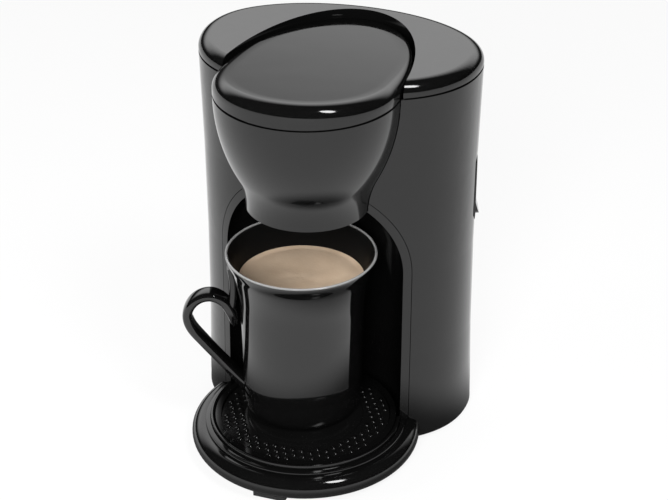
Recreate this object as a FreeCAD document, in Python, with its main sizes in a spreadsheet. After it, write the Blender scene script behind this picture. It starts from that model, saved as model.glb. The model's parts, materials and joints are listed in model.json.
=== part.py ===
# Single-cup drip coffee maker, in millimetres: +Z up, front towards -Y, origin under its middle on the floor.
import FreeCAD, Part
import Sketcher
import math
import os

V = FreeCAD.Vector
doc = FreeCAD.newDocument("CoffeeMaker")

# Sizes: a number drives the model, and a formula follows the sizes above it
SIZES = {
    "parting_height": (199.5, "floor to the lid and cover parting line"),
    "tower_half_width": (73.0, "half width of the tower"),
    "tower_front_depth": (55.0, "tower axis to its front"),
    "tower_back_depth": (48.0, "tower axis to its back"),
    "tower_waist": (1.6, "how far the sides draw in half way up"),
    "tower_offset": (57.0, "base axis to tower axis"),
    "head_offset": (5.8, "base axis to brew head axis"),
    "niche_offset": (9.0, "base axis to the axis of niche and mug"),
    "front_fullness": (2.3, "exponent of the tower's front curve"),
    "back_fullness": (2.0, "exponent of the tower's back curve"),
    "wall": (2.5, "moulded wall"),
    "gap": (0.3, "clearance between pieces that only touch"),
    "foot_height": (3.0, "floor to underside of the base"),
    "cover_thickness": (1.6, "bottom cover sheet"),
    "base_radius": (60.0, "round front of the base"),
    "base_height": (12.0, "base ring, underside to ledge"),
    "base_floor": (3.0, "base floor thickness"),
    "ring_width": (7.5, "bullnose ring, outside to its inner slope"),
    "groove_depth": (4.0, "groove round the drip tray"),
    "tray_radius": ("=base_radius - 12.5", "drip tray"),
    "tray_height": (11.8, "drip tray"),
    "tray_wall": (1.8, "drip tray wall"),
    "rim_width": (3.0, "flat rim of the drip tray"),
    "plate_sink": (1.4, "drip plate below the tray rim"),
    "plate_thickness": (1.8, "drip plate"),
    "stand_radius": ("=tray_radius - 17.5", "smooth disc in the drip plate"),
    "pip_radius": (1.1, "pip on the drip plate"),
    "pip_height": (0.8, "pip and stand above the plate"),
    "pip_spacing": (4.8, "between pips"),
    "niche_radius": ("=tray_radius + 0.5", "cup niche and its arch"),
    "arch_height": ("=parting_height - 97.5", "floor to the spring of the arch"),
    "liner_wall": (4.0, "niche liner"),
    "top_height": ("=parting_height + 8.3", "floor to the tower's top"),
    "edge_round": (6.0, "rounding of lid and cover"),
    "rebate": (0.9, "shadow groove along the parting line"),
    "head_radius": (45.7, "brew head at the parting line"),
    "head_bottom": ("=parting_height - 60.2", "floor to the brew head's underside"),
    "spout_radius": ("=head_radius - 14.8", "brew head at its underside"),
    "lid_back_length": (89.2, "head axis to the lid's back end"),
    "lid_front_height": ("=parting_height + 12.8", "floor to the lid's top at the front"),
    "lid_back_height": ("=parting_height - 0.7", "floor to the lid's top at the back"),
    "lid_gap": (1.0, "lid to its recess"),
    "skirt_depth": (20.0, "recess wall under the tower's top"),
    "mug_x": (-5.0, "mug axis"),
    "mug_rim_radius": ("=niche_radius - 10", "mug lip"),
    "mug_radius": ("=mug_rim_radius - 7.6", "mug body under its flare"),
    "mug_low_radius": ("=mug_radius - 1.4", "mug body above its foot"),
    "mug_foot_radius": ("=mug_radius - 4", "mug foot"),
    "mug_height": ("=arch_height - 10.5", "mug"),
    "mug_wall": (2.6, "mug wall"),
    "handle_turn": (199.0, "handle direction, degrees from +X"),
    "handle_reach": ("=mug_rim_radius + 22", "mug axis to the handle's middle line"),
    "filter_radius": ("=head_radius - 5.7", "filter holder at its rim"),
    "filter_top": ("=parting_height - 9.5", "floor to the filter's rim"),
    "filter_depth": (44.0, "filter holder"),
    "filter_foot_radius": ("=filter_radius - 18", "filter holder at its foot"),
    "filter_wall": (1.6, "filter holder wall"),
    "tank_front": (46.5, "tank front wall, from the frame's origin"),
    "tank_floor": ("=parting_height - 87.5", "floor to the tank's underside"),
    "tank_top": ("=parting_height - 14.5", "floor to the tank's rim"),
    "tank_wall": (2.0, "tank wall"),
    "tank_half_width": (44.0, "tank, beside the switch"),
    "hose_radius": (3.6, "hose outside"),
    "hose_bore": (2.2, "hose inside radius"),
    "heater_length": (56.0, "heater tube"),
    "heater_y": (57.0, "heater, from the frame's origin"),
    "heater_z": (26.0, "floor to the heater's axis"),
    "switch_z": ("=parting_height - 66", "floor to the switch axis"),
    "switch_height": (40.0, "switch opening"),
    "switch_width": (15.0, "switch opening"),
    "switch_side": (10.5, "switch behind the tower axis"),
}
sheet = doc.addObject("Spreadsheet::Sheet", "Sizes")
for row, (alias, (number, note)) in enumerate(SIZES.items(), start=1):
    sheet.set(f"A{row}", alias)
    sheet.set(f"B{row}", str(number))
    sheet.set(f"C{row}", note)
    sheet.setAlias(f"B{row}", alias)
doc.recompute()

parts = []


def value(expression):
    """The number that a sheet expression stands for."""
    return float(sheet.evalExpression(expression))


def size(alias):
    return value(f"Sizes.{alias}")


# Places that follow from the driving sizes, as sheet expressions
BASE_Y = "((Sizes.base_radius - Sizes.tower_offset - Sizes.tower_back_depth) / 2)"
HEAD_Y = f"({BASE_Y} + Sizes.head_offset)"
NICHE_Y = f"({BASE_Y} + Sizes.niche_offset)"
TOWER_Y = f"({BASE_Y} + Sizes.tower_offset)"
FLOOR_TOP = "(Sizes.foot_height + Sizes.base_floor)"
LEDGE = "(Sizes.foot_height + Sizes.base_height)"
TRAY_BOTTOM = f"({FLOOR_TOP} + Sizes.gap)"
TRAY_TOP = f"({TRAY_BOTTOM} + Sizes.tray_height)"
PLATE_TOP = f"({TRAY_TOP} - Sizes.plate_sink)"
PLATE_BOTTOM = f"({PLATE_TOP} - Sizes.plate_thickness)"
MUG_BOTTOM = f"({PLATE_TOP} + Sizes.pip_height + Sizes.gap)"
NOZZLE_Y = "(Sizes.tank_front - Sizes.hose_radius - Sizes.gap)"

base_y = value(BASE_Y)
head_y = value(HEAD_Y)
niche_y = value(NICHE_Y)
tower_y = value(TOWER_Y)
wall = size("wall")
gap = size("gap")
foot = size("foot_height")
floor_top = value(FLOOR_TOP)
parting = size("parting_height")


def keep(thing, label):
    """Name a document object as one finished sub-part."""
    thing.Label = label
    parts.append(thing)
    return thing


def feature(label, shape):
    """A sub-part whose shape is worked out from the sheet here."""
    thing = doc.addObject("Part::Feature", label)
    thing.Shape = shape
    return keep(thing, label)


def bind(thing, x="0", y="0", z="0", **sizes):
    """Bind an object's sizes and place to the sheet."""
    for name, text in sizes.items():
        thing.setExpression(name, text)
    thing.setExpression("Placement.Base.x", x)
    thing.setExpression("Placement.Base.y", y)
    thing.setExpression("Placement.Base.z", z)
    return thing


TURNS = {
    "z": FreeCAD.Rotation(),
    "x": FreeCAD.Rotation(V(0, 1, 0), 90),
    "y": FreeCAD.Rotation(V(1, 0, 0), -90),
}


def cylinder(name, radius, length, axis="z", **place):
    thing = doc.addObject("Part::Cylinder", name)
    thing.Placement.Rotation = TURNS[axis]
    return bind(thing, Radius=radius, Height=length, **place)


def box(name, length, width, height, **place):
    """A box centred on its place in X and Y, standing on it in Z."""
    thing = doc.addObject("Part::Box", name)
    x = f"{place.get('x', '0')} - ({length}) / 2"
    y = f"{place.get('y', '0')} - ({width}) / 2"
    return bind(thing, x=x, y=y, z=place.get("z", "0"), Length=length, Width=width, Height=height)


def cut(name, base, *tools):
    for number, tool in enumerate(tools):
        step = doc.addObject("Part::Cut", f"{name}_cut{number}")
        step.Base = base
        step.Tool = tool
        base = step
    return base


def fuse(name, *shapes):
    thing = doc.addObject("Part::MultiFuse", name)
    thing.Shapes = list(shapes)
    return thing


def turned(label, corners, y):
    """A turned piece: a body revolved about Z from corners given as sheet expressions (radius, height)."""
    body = doc.addObject("PartDesign::Body", label)
    sketch = body.newObject("Sketcher::SketchObject", f"{label}_profile")
    plane = [f for f in body.Origin.OriginFeatures if f.Role == "XZ_Plane"][0]
    sketch.AttachmentSupport = [(plane, "")]
    sketch.MapMode = "FlatFace"
    points = [V(value(r), value(z), 0) for r, z in corners]
    count = len(points)
    for index in range(count):
        sketch.addGeometry(Part.LineSegment(points[index], points[(index + 1) % count]), False)
    for index in range(count):
        sketch.addConstraint(Sketcher.Constraint("Coincident", index, 2, (index + 1) % count, 1))
    for index, (r, z) in enumerate(corners):
        for kind, text, number in (("DistanceX", r, points[index].x), ("DistanceY", z, points[index].y)):
            if kind == "DistanceX" and r == "0":
                sketch.addConstraint(Sketcher.Constraint("PointOnObject", index, 1, -2))
                continue
            place = sketch.addConstraint(Sketcher.Constraint(kind, -1, 1, index, 1, number))
            sketch.setExpression(f"Constraints[{place}]", text)
    turn = body.newObject("PartDesign::Revolution", f"{label}_turn")
    turn.Profile = sketch
    turn.ReferenceAxis = (sketch, ["V_Axis"])
    turn.Angle = 360
    bind(body, y=y)
    return body


def oval(inset, height):
    """Plan outline of the tower, drawn in by inset, as one closed curve."""
    half = size("tower_half_width") - inset
    front = size("tower_front_depth") - inset
    back = size("tower_back_depth") - inset
    count = 16
    points = []
    for step in range(count):
        angle = 2 * math.pi * step / count
        c = math.cos(angle)
        s = math.sin(angle)
        power = 2 / (size("back_fullness") if s > 0 else size("front_fullness"))
        depth = back if s > 0 else front
        points.append(V(math.copysign(abs(c) ** power * half, c),
                        tower_y + math.copysign(abs(s) ** power * depth, s), height))
    curve = Part.BSplineCurve()
    curve.interpolate(Points=points, PeriodicFlag=True)
    return Part.Wire(curve.toShape())


def tower_solid(inset, bottom, top):
    """Solid of the tower's waisted outline, drawn in by inset, in straight bands."""
    bands = 4
    wires = []
    for step in range(bands + 1):
        share = step / bands
        draw_in = 4 * share * (1 - share) * size("tower_waist")
        wires.append(oval(inset + draw_in, foot + share * (parting - foot)))
    body = Part.makeLoft(wires, True, True)
    span = 2 * size("tower_half_width") + 100
    slab = Part.makeBox(span, span, top - bottom, V(-span / 2, tower_y - span / 2, bottom))
    return body.common(slab)


def oval_plate(inset, bottom, top):
    return Part.Face(oval(inset, bottom)).extrude(V(0, 0, top - bottom))


def niche_solid(grow):
    """Upright cylinder with a domed top that the cup niche is cut with."""
    radius = size("niche_radius") + grow
    spring = size("arch_height")
    shaft = Part.makeCylinder(radius, spring - foot, V(0, niche_y, foot))
    return shaft.fuse(Part.makeSphere(radius, V(0, niche_y, spring)))


def head_solid(grow, bottom):
    """Turned solid inside the brew head's S-shaped side, grown by a clearance or drawn in by a wall."""
    neck = size("spout_radius") + grow
    rim = size("head_radius") + grow
    rise = parting - bottom
    radii = ((rim - neck) ** 2 + rise ** 2) / (2 * (rim - neck))
    hollow = 0.29
    low_r = radii * hollow
    high_r = radii - low_r

    def low_arc(up):
        return V(neck + low_r - math.sqrt(low_r ** 2 - up ** 2), 0, bottom + up)

    def high_arc(down):
        return V(rim - high_r + math.sqrt(high_r ** 2 - down ** 2), 0, parting - down)

    turn = rise * hollow
    low = Part.Arc(low_arc(0), low_arc(turn / 2), low_arc(turn)).toShape()
    high = Part.Arc(low_arc(turn), high_arc((rise - turn) / 2), high_arc(0)).toShape()
    corners = [high_arc(0), V(0, 0, parting), V(0, 0, bottom), low_arc(0)]
    edges = [low, high] + [Part.LineSegment(a, b).toShape() for a, b in zip(corners, corners[1:])]
    solid = Part.Face(Part.Wire(edges)).revolve(V(0, 0, 0), V(0, 0, 1), 360)
    solid.translate(V(0, head_y, 0))
    return solid


def lid_outline(grow, height):
    """Plan of the lid: half circle in front of the head axis, long half ellipse behind it."""
    radius = size("head_radius") + grow
    length = size("lid_back_length") + grow
    centre = V(0, head_y, height)
    right = V(radius, head_y, height)
    left = V(-radius, head_y, height)
    front = Part.Arc(left, V(0, head_y - radius, height), right).toShape()
    ellipse = Part.Ellipse(V(0, head_y + length, height), right, centre)
    start = ellipse.parameter(right)
    end = ellipse.parameter(left)
    back = Part.ArcOfEllipse(ellipse, min(start, end), max(start, end)).toShape()
    if back.valueAt((back.FirstParameter + back.LastParameter) / 2).y < head_y:
        back = Part.ArcOfEllipse(ellipse, max(start, end), min(start, end) + 2 * math.pi).toShape()
    return Part.Wire(Part.__sortEdges__([front, back]))


def lid_prism(grow, bottom, top):
    return Part.Face(lid_outline(grow, bottom)).extrude(V(0, 0, top - bottom))


def lid_side(lower, front_bottom, back_bottom):
    """Side view of the lid: gently domed top, lowered by lower, over a bottom that dips towards the back."""
    front_y = head_y - size("head_radius") - 2
    back_y = head_y + size("lid_back_length") + 2
    step_y = head_y + size("head_radius") / 2
    high = size("lid_front_height") - lower
    low = size("lid_back_height") - lower
    sag = 0.27
    mid = V(0, (front_y + back_y) / 2, high - (high - low) * sag)
    top = Part.Arc(V(0, front_y, high), mid, V(0, back_y, low))
    corners = [V(0, back_y, low), V(0, back_y, back_bottom), V(0, step_y, front_bottom),
               V(0, front_y, front_bottom), V(0, front_y, high)]
    edges = [top.toShape()] + [Part.LineSegment(a, b).toShape() for a, b in zip(corners, corners[1:])]
    span = size("head_radius") + 10
    face = Part.Face(Part.Wire(edges))
    face.translate(V(-span, 0, 0))
    return face.extrude(V(2 * span, 0, 0))


def rod(path, radius):
    """Round rod along straight runs with round corners."""
    pieces = []
    last = path[0]

    def disc(centre, along):
        face = Part.Face(Part.Wire(Part.makeCircle(radius, centre, along)))
        face.rotate(centre, along, 90)
        return face

    for before, corner, after in zip(path, path[1:], path[2:]):
        come = (corner - before).normalize()
        go = (after - corner).normalize()
        turn = come.getAngle(go)
        reach = min((corner - before).Length, (after - corner).Length) * 0.45
        start = corner - come * reach
        axis = come.cross(go).normalize()
        centre = start + axis.cross(come) * (reach / math.tan(turn / 2))
        pieces.append(disc(last, come).extrude(start - last))
        pieces.append(disc(start, come).revolve(centre, axis, math.degrees(turn)))
        last = corner + go * reach
    pieces.append(disc(last, path[-1] - last).extrude(path[-1] - last))
    return pieces[0].fuse(pieces[1:]).removeSplitter() if len(pieces) > 1 else pieces[0]


def tube(path, outer, bore):
    return rod(path, outer).cut(rod(path, bore))


# Tower: waisted shell with the niche, head and switch openings
tower_outside = tower_solid(0, foot, parting)
tower_inside = tower_solid(wall, foot, parting)
switch_angle = math.degrees(math.atan2(size("switch_side") / size("tower_back_depth") ** 2,
                                       math.sqrt(1 - (size("switch_side") / size("tower_back_depth")) ** 2)
                                       / size("tower_half_width")))
switch_x = size("tower_half_width") * math.sqrt(1 - (size("switch_side") / size("tower_back_depth")) ** 2)
switch_sink = 2.8
switch_seat = FreeCAD.Placement(V(switch_x - switch_sink, tower_y + size("switch_side"), size("switch_z")),
                                FreeCAD.Rotation(V(0, 0, 1), switch_angle))


def slot_prism(width, height, depth, start):
    """Upright slot with round ends, square to the switch face, from start along the face's normal."""
    radius = width / 2
    half = height / 2 - radius
    corners = [V(start, -radius, -half), V(start, -radius, half),
               V(start, radius, half), V(start, radius, -half)]
    wire = Part.Wire([
        Part.LineSegment(corners[0], corners[1]).toShape(),
        Part.Arc(corners[1], V(start, 0, half + radius), corners[2]).toShape(),
        Part.LineSegment(corners[2], corners[3]).toShape(),
        Part.Arc(corners[3], V(start, 0, -half - radius), corners[0]).toShape()])
    return Part.Face(wire).extrude(V(depth, 0, 0))


def at_switch(shape):
    shape.Placement = switch_seat.multiply(shape.Placement)
    return shape


bezel_wall = 1.5
liner = size("liner_wall")
head_hole = head_solid(gap, size("head_bottom"))
head_hole = head_hole.fuse(Part.makeCylinder(size("head_radius") + gap, 20, V(0, head_y, parting)))
switch_hole = at_switch(slot_prism(size("switch_width") + 2 * bezel_wall + 2 * gap,
                                   size("switch_height") + 2 * bezel_wall + 2 * gap, 30, -20))
gland_radius = 6.0
gland_z = 20.0
gland_y = tower_y + size("tower_back_depth")
gland_hole = Part.makeCylinder(gland_radius + gap, 20, V(0, gland_y - 10, gland_z), V(0, 1, 0))
shell = tower_outside.cut(tower_inside)
for hole in (niche_solid(liner + gap), head_hole, switch_hole, gland_hole):
    shell = shell.cut(hole)
feature("tower_shell", shell)

# Niche liner: thick rounded frame and dome that the brew head comes through
lining = niche_solid(liner).cut(niche_solid(0)).common(tower_outside)
lining = lining.cut(Part.makeBox(400, 400, floor_top + gap, V(-200, -200, 0))).cut(head_hole)
feature("niche_liner", lining)

# Base: floor under tower and tray, with a bullnose ring round the front
ring_top = value(LEDGE)
ring_r = size("base_radius")
nose = size("base_height") / 2
slope_r = ring_r - size("ring_width")
groove_z = ring_top - size("groove_depth")
seat_room = 0.7
seat_r = size("tray_radius") + seat_room
ring_mid = foot + nose
ring_edges = [
    Part.LineSegment(V(seat_r, 0, foot), V(ring_r - nose, 0, foot)).toShape(),
    Part.Arc(V(ring_r - nose, 0, foot), V(ring_r, 0, ring_mid), V(ring_r - nose, 0, ring_top)).toShape(),
    Part.LineSegment(V(ring_r - nose, 0, ring_top), V(slope_r, 0, ring_top)).toShape(),
    Part.LineSegment(V(slope_r, 0, ring_top), V(slope_r - 1, 0, groove_z)).toShape(),
    Part.LineSegment(V(slope_r - 1, 0, groove_z), V(seat_r, 0, groove_z)).toShape(),
    Part.LineSegment(V(seat_r, 0, groove_z), V(seat_r, 0, foot)).toShape()]
ring = Part.Face(Part.Wire(ring_edges)).revolve(V(0, 0, 0), V(0, 0, 1), 360)
ring.translate(V(0, base_y, 0))
ring = ring.cut(oval_plate(-gap, foot - 1, ring_top + 1))
floor = oval_plate(wall + gap, foot, floor_top)
floor = floor.fuse(Part.makeCylinder(seat_r + 1, size("base_floor"), V(0, base_y, foot)))
wall_slot = oval_plate(-gap, foot, floor_top).cut(oval_plate(wall + gap, foot, floor_top))
wall_slot = wall_slot.cut(niche_solid(liner + gap))
screw_radius = 1.5
screw_top = floor_top - 0.5
screw_rows = ((58, tower_y + 4), (30, tower_y + 36))
screw_places = [V(side * x, y, 0) for side in (-1, 1) for x, y in screw_rows]
pilots = [Part.makeCylinder(screw_radius, screw_top - foot, place + V(0, 0, foot)) for place in screw_places]
feature("base", ring.fuse(floor.cut(wall_slot)).cut(pilots))

# Drip tray and its pipped plate
tray = turned("drip_tray", [
    ("0", TRAY_BOTTOM),
    ("Sizes.tray_radius", TRAY_BOTTOM),
    ("Sizes.tray_radius", TRAY_TOP),
    ("Sizes.tray_radius - Sizes.rim_width", TRAY_TOP),
    ("Sizes.tray_radius - Sizes.rim_width", f"{PLATE_BOTTOM} - Sizes.gap"),
    ("Sizes.tray_radius - Sizes.rim_width - Sizes.tray_wall", f"{PLATE_BOTTOM} - Sizes.gap"),
    ("Sizes.tray_radius - Sizes.rim_width - Sizes.tray_wall", f"{TRAY_BOTTOM} + Sizes.tray_wall"),
    ("0", f"{TRAY_BOTTOM} + Sizes.tray_wall")], BASE_Y)
keep(tray, "drip_tray")

plate_r = size("tray_radius") - size("rim_width") - 0.4
plate_top = value(PLATE_TOP)
plate = Part.makeCylinder(plate_r, size("plate_thickness"), V(0, base_y, value(PLATE_BOTTOM)))
plate = plate.fuse(Part.makeCylinder(size("stand_radius"), size("pip_height"), V(0, base_y, plate_top)))
pips = []
pip_sides = 6
pitch = size("pip_spacing")
pip_r = size("pip_radius")
row_height = pitch * math.sqrt(3) / 2
pip_rings = []
for radius, up in ((pip_r, 0), (pip_r / 2, size("pip_height"))):
    turns = [2 * math.pi * side / pip_sides for side in range(pip_sides + 1)]
    pip_rings.append(Part.makePolygon([V(radius * math.cos(a), radius * math.sin(a), up) for a in turns]))
pip = Part.makeLoft(pip_rings, True, True)
rows = int(plate_r / row_height) + 1
for row in range(-rows, rows + 1):
    for column in range(-rows, rows + 1):
        x = (column + (row % 2) / 2) * pitch
        y = row * row_height
        if size("stand_radius") + 1.5 * pip_r < math.hypot(x, y) < plate_r - 1.5 * pip_r:
            pips.append(pip.translated(V(x, base_y + y, plate_top)))
plate = plate.fuse(pips)
feature("drip_plate", plate)

# Underside: cover sheet, feet and screws
cover_inset = 5.0
cover_bottom = foot - size("cover_thickness")
cover = oval_plate(cover_inset, cover_bottom, foot)
cover = cover.cut(Part.makeCylinder(seat_r, foot, V(0, base_y, 0)))
cover = cover.cut([Part.makeCylinder(screw_radius + gap, foot, place) for place in screw_places])
feature("bottom_cover", cover)
screws = []
head_height = 1.0
screw_bottom = cover_bottom - head_height
for place in screw_places:
    under = place + V(0, 0, screw_bottom)
    shank = Part.makeCylinder(screw_radius, screw_top - screw_bottom, under)
    screws.append(shank.fuse(Part.makeCylinder(2 * screw_radius, head_height, under)))
feature("cover_screws", Part.makeCompound(screws))

foot_radius = 7.0
foot_width = 17.0
foot_depth = 9.0
front_foot = box("front_foot", str(foot_width), str(foot_depth), "Sizes.foot_height",
                 y=f"{BASE_Y} - Sizes.base_radius + Sizes.ring_width + 2")
keep(front_foot, "front_foot")
rear_feet = [cylinder(f"foot_{side}", str(foot_radius), "Sizes.foot_height - Sizes.cover_thickness",
                      x=f"{sign}48", y=f"{TOWER_Y} + 20") for side, sign in (("left", "-"), ("right", ""))]
rear_feet = fuse("rear_feet", *rear_feet)
keep(rear_feet, "rear_feet")

# Brew head: S-sided funnel with a round drip outlet
bowl_floor = size("head_bottom") + wall
bowl = head_solid(0, size("head_bottom"))
bowl = bowl.cut(head_solid(-wall, size("head_bottom")).cut(Part.makeBox(200, 200, bowl_floor, V(-100, -100, 0))))
outlet_radius = 9.0
bowl = bowl.cut(Part.makeCylinder(outlet_radius, 10, V(0, head_y, size("head_bottom") - 2)))
ledge_thick = 2.0
rim_thick = 2.0
ledge_foot = V(0, head_y, size("filter_top") - rim_thick - gap - ledge_thick)
ledge = Part.makeCylinder(size("head_radius"), ledge_thick, ledge_foot)
ledge = ledge.cut(Part.makeCylinder(size("filter_radius") - 2, ledge_thick, ledge_foot))
ledge = ledge.common(head_solid(-wall / 2, size("head_bottom")))
notch_width = 16.0
notch = Part.makeBox(notch_width, 20, 10, V(-notch_width / 2, head_y + size("head_radius") - 10, parting - 3))
bowl = bowl.fuse(ledge).cut(notch)
feature("brew_head", bowl)

# Filter: holder with drip nozzle, ribbed frame and mesh cone
filter_r = size("filter_radius")
filter_top = size("filter_top")
filter_wall = size("filter_wall")
HOLDER_FOOT = "(Sizes.filter_top - Sizes.filter_depth)"
SHOULDER = "(Sizes.filter_radius - 2.5)"
nozzle_radius = "6"
nozzle_bore = "2.5"
holder = turned("filter_holder", [
    (nozzle_bore, f"{HOLDER_FOOT} - 5"),
    (nozzle_radius, f"{HOLDER_FOOT} - 5"),
    (nozzle_radius, HOLDER_FOOT),
    ("Sizes.filter_foot_radius", HOLDER_FOOT),
    (SHOULDER, "Sizes.filter_top - 2"),
    ("Sizes.filter_radius", "Sizes.filter_top - 2"),
    ("Sizes.filter_radius", "Sizes.filter_top"),
    (f"{SHOULDER} - Sizes.filter_wall", "Sizes.filter_top"),
    ("Sizes.filter_foot_radius - Sizes.filter_wall", f"{HOLDER_FOOT} + Sizes.filter_wall"),
    (nozzle_bore, f"{HOLDER_FOOT} + Sizes.filter_wall")], HEAD_Y)
keep(holder, "filter_holder")

mesh_gap = 3.0
mesh_top_r = value(SHOULDER) - filter_wall - mesh_gap
mesh_foot_r = size("filter_foot_radius") - filter_wall - mesh_gap
mesh_bottom = value(HOLDER_FOOT) + filter_wall + mesh_gap
mesh_wall = 0.6
cone_height = filter_top - mesh_bottom
mesh = Part.makeCone(mesh_foot_r, mesh_top_r, cone_height, V(0, head_y, mesh_bottom))
mesh = mesh.cut(Part.makeCone(mesh_foot_r - mesh_wall, mesh_top_r - mesh_wall, cone_height,
                              V(0, head_y, mesh_bottom + mesh_wall)))
feature("filter_mesh", mesh)
frame_bottom = filter_top + gap
frame_thick = 2.0
frame_rim = Part.makeCylinder(filter_r - 1, frame_thick, V(0, head_y, frame_bottom))
frame_rim = frame_rim.cut(Part.makeCylinder(mesh_top_r - mesh_wall, frame_thick, V(0, head_y, frame_bottom)))
ribs = []
rib_count = 6
rib_width = 2.0
for index in range(rib_count):
    outline = Part.makePolygon([
        V(mesh_foot_r + gap, 0, mesh_bottom), V(mesh_foot_r + 2, 0, mesh_bottom),
        V(mesh_top_r + 2, 0, frame_bottom), V(mesh_top_r + gap, 0, frame_bottom),
        V(mesh_foot_r + gap, 0, mesh_bottom)])
    rib = Part.Face(outline).extrude(V(0, rib_width, 0))
    rib.translate(V(0, -rib_width / 2, 0))
    rib.rotate(V(0, 0, 0), V(0, 0, 1), 360 / rib_count * index)
    rib.translate(V(0, head_y, 0))
    ribs.append(rib)
bar_width = 5.0
bar_corner = V(-mesh_top_r, head_y - bar_width / 2, frame_bottom)
handle_bar = Part.makeBox(2 * mesh_top_r, bar_width, frame_thick, bar_corner)
feature("filter_frame", frame_rim.fuse(ribs + [handle_bar]))

# Lid: domed shell over head and tank, with a water guide under it
round_edge = size("edge_round")
lid_bottom = parting + gap
lid_tail = size("lid_back_height") - 8
lid_outer = lid_side(0, lid_bottom, lid_tail).common(lid_prism(0, 150, 250))
rim_edges = [e for e in lid_outer.Edges if e.BoundBox.ZMin > size("lid_back_height") - 2
             and e.BoundBox.ZMax > parting + 5]
lid_outer = lid_outer.makeFillet(round_edge, rim_edges)
lid_inner = lid_side(wall, lid_bottom - 20, lid_tail - 20).common(lid_prism(-wall, 150, 250))
rebate = size("rebate")
lid_groove = lid_prism(1, lid_bottom - 1, lid_bottom + rebate)
lid_groove = lid_groove.cut(lid_prism(-rebate, lid_bottom - 1, lid_bottom + rebate))
front_half = Part.makeBox(200, 200, 100, V(-100, head_y - 200, 150))
feature("lid", lid_outer.cut(lid_inner).cut(lid_groove.common(front_half)))

nozzle_y = value(NOZZLE_Y)
guide_width = 14.0
guide_depth = 4.0
guide_top = wall + 0.1
guide_wall = 1.5
guide_length = nozzle_y - head_y + guide_width


def under_lid(lower):
    """Everything under the lid's top, lowered by lower, down to well below the lid."""
    return lid_side(lower, parting - 20, parting - 20)


def guide_block(inset):
    corner = V(inset - guide_width / 2, head_y + inset - guide_width / 2, parting - 30)
    return Part.makeBox(guide_width - 2 * inset, guide_length - 2 * inset, 60, corner)


guide_below = under_lid(wall + guide_depth)
guide = under_lid(guide_top).cut(guide_below).common(guide_block(0)).cut(guide_block(guide_wall))
guide_floor = under_lid(wall + guide_depth - 1.2).cut(guide_below).common(guide_block(0))
inlet = Part.makeCylinder(3.5, 100, V(0, nozzle_y, parting - 50))
drip_radius = 1.2
drip_places = ((0, 0), (-3.5, 0), (3.5, 0), (0, 4), (0, -3.5))
drips = [Part.makeCylinder(drip_radius, 100, V(x, head_y + y, parting - 50)) for x, y in drip_places]
feature("water_guide", guide.fuse(guide_floor).cut([inlet] + drips))

# Top cover: rounded oval cap with the lid's recess, its wall and the deck behind the head
top = size("top_height")
cap_bottom = parting + gap
cap = oval_plate(0, cap_bottom, top)
cap_edges = [e for e in cap.Edges if e.BoundBox.ZMin > top - 1]
cap = cap.makeFillet(round_edge, cap_edges)
cap_groove = oval_plate(-1, cap_bottom, cap_bottom + rebate)
cap = cap.cut(cap_groove.cut(oval_plate(rebate, cap_bottom, cap_bottom + rebate)))
cap_room = oval_plate(wall, cap_bottom, top - wall)
lid_gap = size("lid_gap")
skirt_bottom = top - size("skirt_depth")
recess = lid_prism(lid_gap, skirt_bottom - 10, top + 10)
inner_room = tower_solid(wall + 1, foot, parting).fuse(oval_plate(wall + 1, parting, top - 1))
recess_wall = lid_prism(lid_gap + 2, skirt_bottom, top - 1).common(inner_room)
head_room = Part.makeCylinder(size("head_radius") + gap, 100, V(0, head_y, skirt_bottom - 30))
deck_length = size("tank_front") + size("tank_wall") - head_y
deck = lid_prism(lid_gap + 1, skirt_bottom, skirt_bottom + 2)
deck = deck.common(Part.makeBox(200, deck_length, 100, V(-100, head_y, skirt_bottom - 30)))
deck = deck.common(tower_solid(wall + gap, foot, parting))
hose_hole = Part.makeCylinder(size("hose_radius") + gap, 60, V(0, nozzle_y, skirt_bottom - 20))
cap = cap.cut(cap_room).fuse(recess_wall).cut(recess).fuse(deck)
feature("top_cover", cap.cut([head_room, hose_hole]))

# Water tank behind the niche
tank_floor = size("tank_floor")
tank_top = size("tank_top")
tank_wall = size("tank_wall")
tank_half = size("tank_half_width")
behind = Part.makeBox(2 * tank_half, 100, 300, V(-tank_half, size("tank_front"), 0))
inner_half = tank_half - tank_wall
inside = Part.makeBox(2 * inner_half, 100, 300, V(-inner_half, size("tank_front") + tank_wall, 0))
tank = tower_solid(wall + gap, tank_floor, tank_top).common(behind)
tank = tank.cut(tower_solid(wall + gap + tank_wall, tank_floor + tank_wall, tank_top).common(inside))
hose_run = 12.0
outlet_x = -(size("heater_length") / 2 + hose_run)
outlet_y = size("heater_y")
hose_r = size("hose_radius")
hose_bore = size("hose_bore")
spigot_r = hose_bore - 0.05
spigot_bore = hose_bore - 0.8
spigot_length = 12.0
spigot = Part.makeCylinder(spigot_r, spigot_length, V(outlet_x, outlet_y, tank_floor - spigot_length))
spigot_hole = Part.makeCylinder(spigot_bore, 40, V(outlet_x, outlet_y, tank_floor - 20))
tank = tank.fuse(spigot).cut(spigot_hole)
feature("water_tank", tank)

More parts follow.
